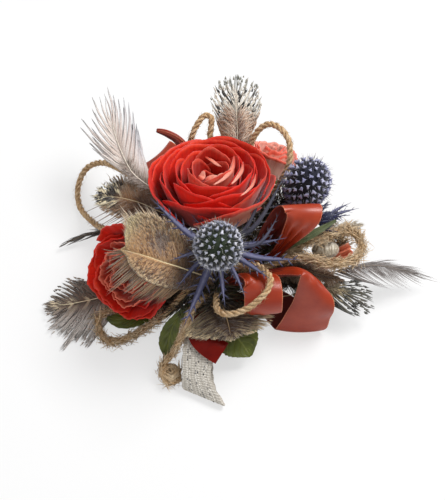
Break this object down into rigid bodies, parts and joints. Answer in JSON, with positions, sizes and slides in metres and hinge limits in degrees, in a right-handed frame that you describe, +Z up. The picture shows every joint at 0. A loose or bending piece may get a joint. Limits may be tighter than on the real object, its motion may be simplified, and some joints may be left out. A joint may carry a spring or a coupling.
{
  "type": "rose wrist corsage",
  "caption": "Wrist corsage: spray roses, sea holly, jute twine loops, satin ribbon, feathers and leaves bound on an elastic wristlet, lying on its band.",
  "frame": {"origin": "centre of the bounding box in plan, on the surface that the corsage lies on", "axes": "+X across the spray to the right, along its longest extent; +Y away from the viewer, with the wristlet's folded end towards -Y; +Z up, the shortest extent"},
  "size_m": [0.1674, 0.1364, 0.0731],
  "materials": {
    "elastic_knit": "satin",
    "felt_pad": "matte",
    "floral_tape": "matte",
    "rose_red": "satin",
    "rose_salmon": "satin",
    "calyx_green": "matte",
    "sea_holly_head": "matte",
    "sea_holly_bract": "matte",
    "jute_twine": "matte",
    "satin_ribbon": "satin",
    "feather_pale": "matte",
    "feather_brown": "matte",
    "feather_gold": "matte",
    "rose_leaf": "satin",
    "dry_pod": "satin"
  },
  "bodies": {
    "root": {"back_rose_calyx": "calyx_green", "back_rose_heart": "rose_salmon", "back_rose_petal_1": "rose_salmon", "back_rose_petal_2": "rose_salmon", "feather_brown_right": "feather_brown", "feather_dark_sliver": "feather_brown", "feather_fringe_front": "feather_brown", "feather_golden": "feather_gold", "feather_grey_left": "feather_brown", "feather_left_brown": "feather_brown", "feather_pale_fan": "feather_pale", "feather_striped_right": "feather_pale", "feather_top_spotted": "feather_pale", "feather_tuft_right": "feather_pale", "feather_wispy_right": "feather_pale", "front_holly_bracts": "sea_holly_bract", "front_holly_head": "sea_holly_head", "leaf_back_left": "rose_leaf", "leaf_back_right": "rose_leaf", "leaf_front": "rose_leaf", "leaf_front_left": "rose_leaf", "leaf_lower_left": "rose_leaf", "leaf_slim_right": "rose_leaf", "main_rose_calyx": "calyx_green", "main_rose_heart": "rose_red", "main_rose_inner_petal_1": "rose_red", "main_rose_inner_petal_2": "rose_red", "main_rose_inner_petal_3": "rose_red", "main_rose_outer_petal_1": "rose_red", "main_rose_outer_petal_2": "rose_red", "main_rose_outer_petal_3": "rose_red", "main_rose_outer_petal_4": "rose_red", "main_rose_outer_petal_5": "rose_red", "ribbon_loop_front": "satin_ribbon", "ribbon_loop_lower_right": "satin_ribbon", "ribbon_loop_upper_left": "satin_ribbon", "ribbon_loop_upper_right": "satin_ribbon", "ribbon_tail_bottom": "satin_ribbon", "ribbon_tail_right": "satin_ribbon", "ribbon_tail_upper_left": "satin_ribbon", "right_holly_bracts": "sea_holly_bract", "right_holly_head": "sea_holly_head", "seed_pod": "dry_pod", "side_holly_bud": "sea_holly_head", "side_rose_calyx": "calyx_green", "side_rose_heart": "rose_salmon", "side_rose_petal_1": "rose_red", "side_rose_petal_2": "rose_red", "side_rose_petal_3": "rose_red", "side_rose_petal_4": "rose_red", "stem_binding": "floral_tape", "twine_end_bottom": "jute_twine", "twine_loop_front": "jute_twine", "twine_loop_left": "jute_twine", "twine_loop_lower_left": "jute_twine", "twine_loop_right": "jute_twine", "twine_loop_top": "jute_twine", "twine_loop_upper_right": "jute_twine", "wristlet_band": "elastic_knit", "wristlet_pad": "felt_pad"}
  },
  "joints": []
}
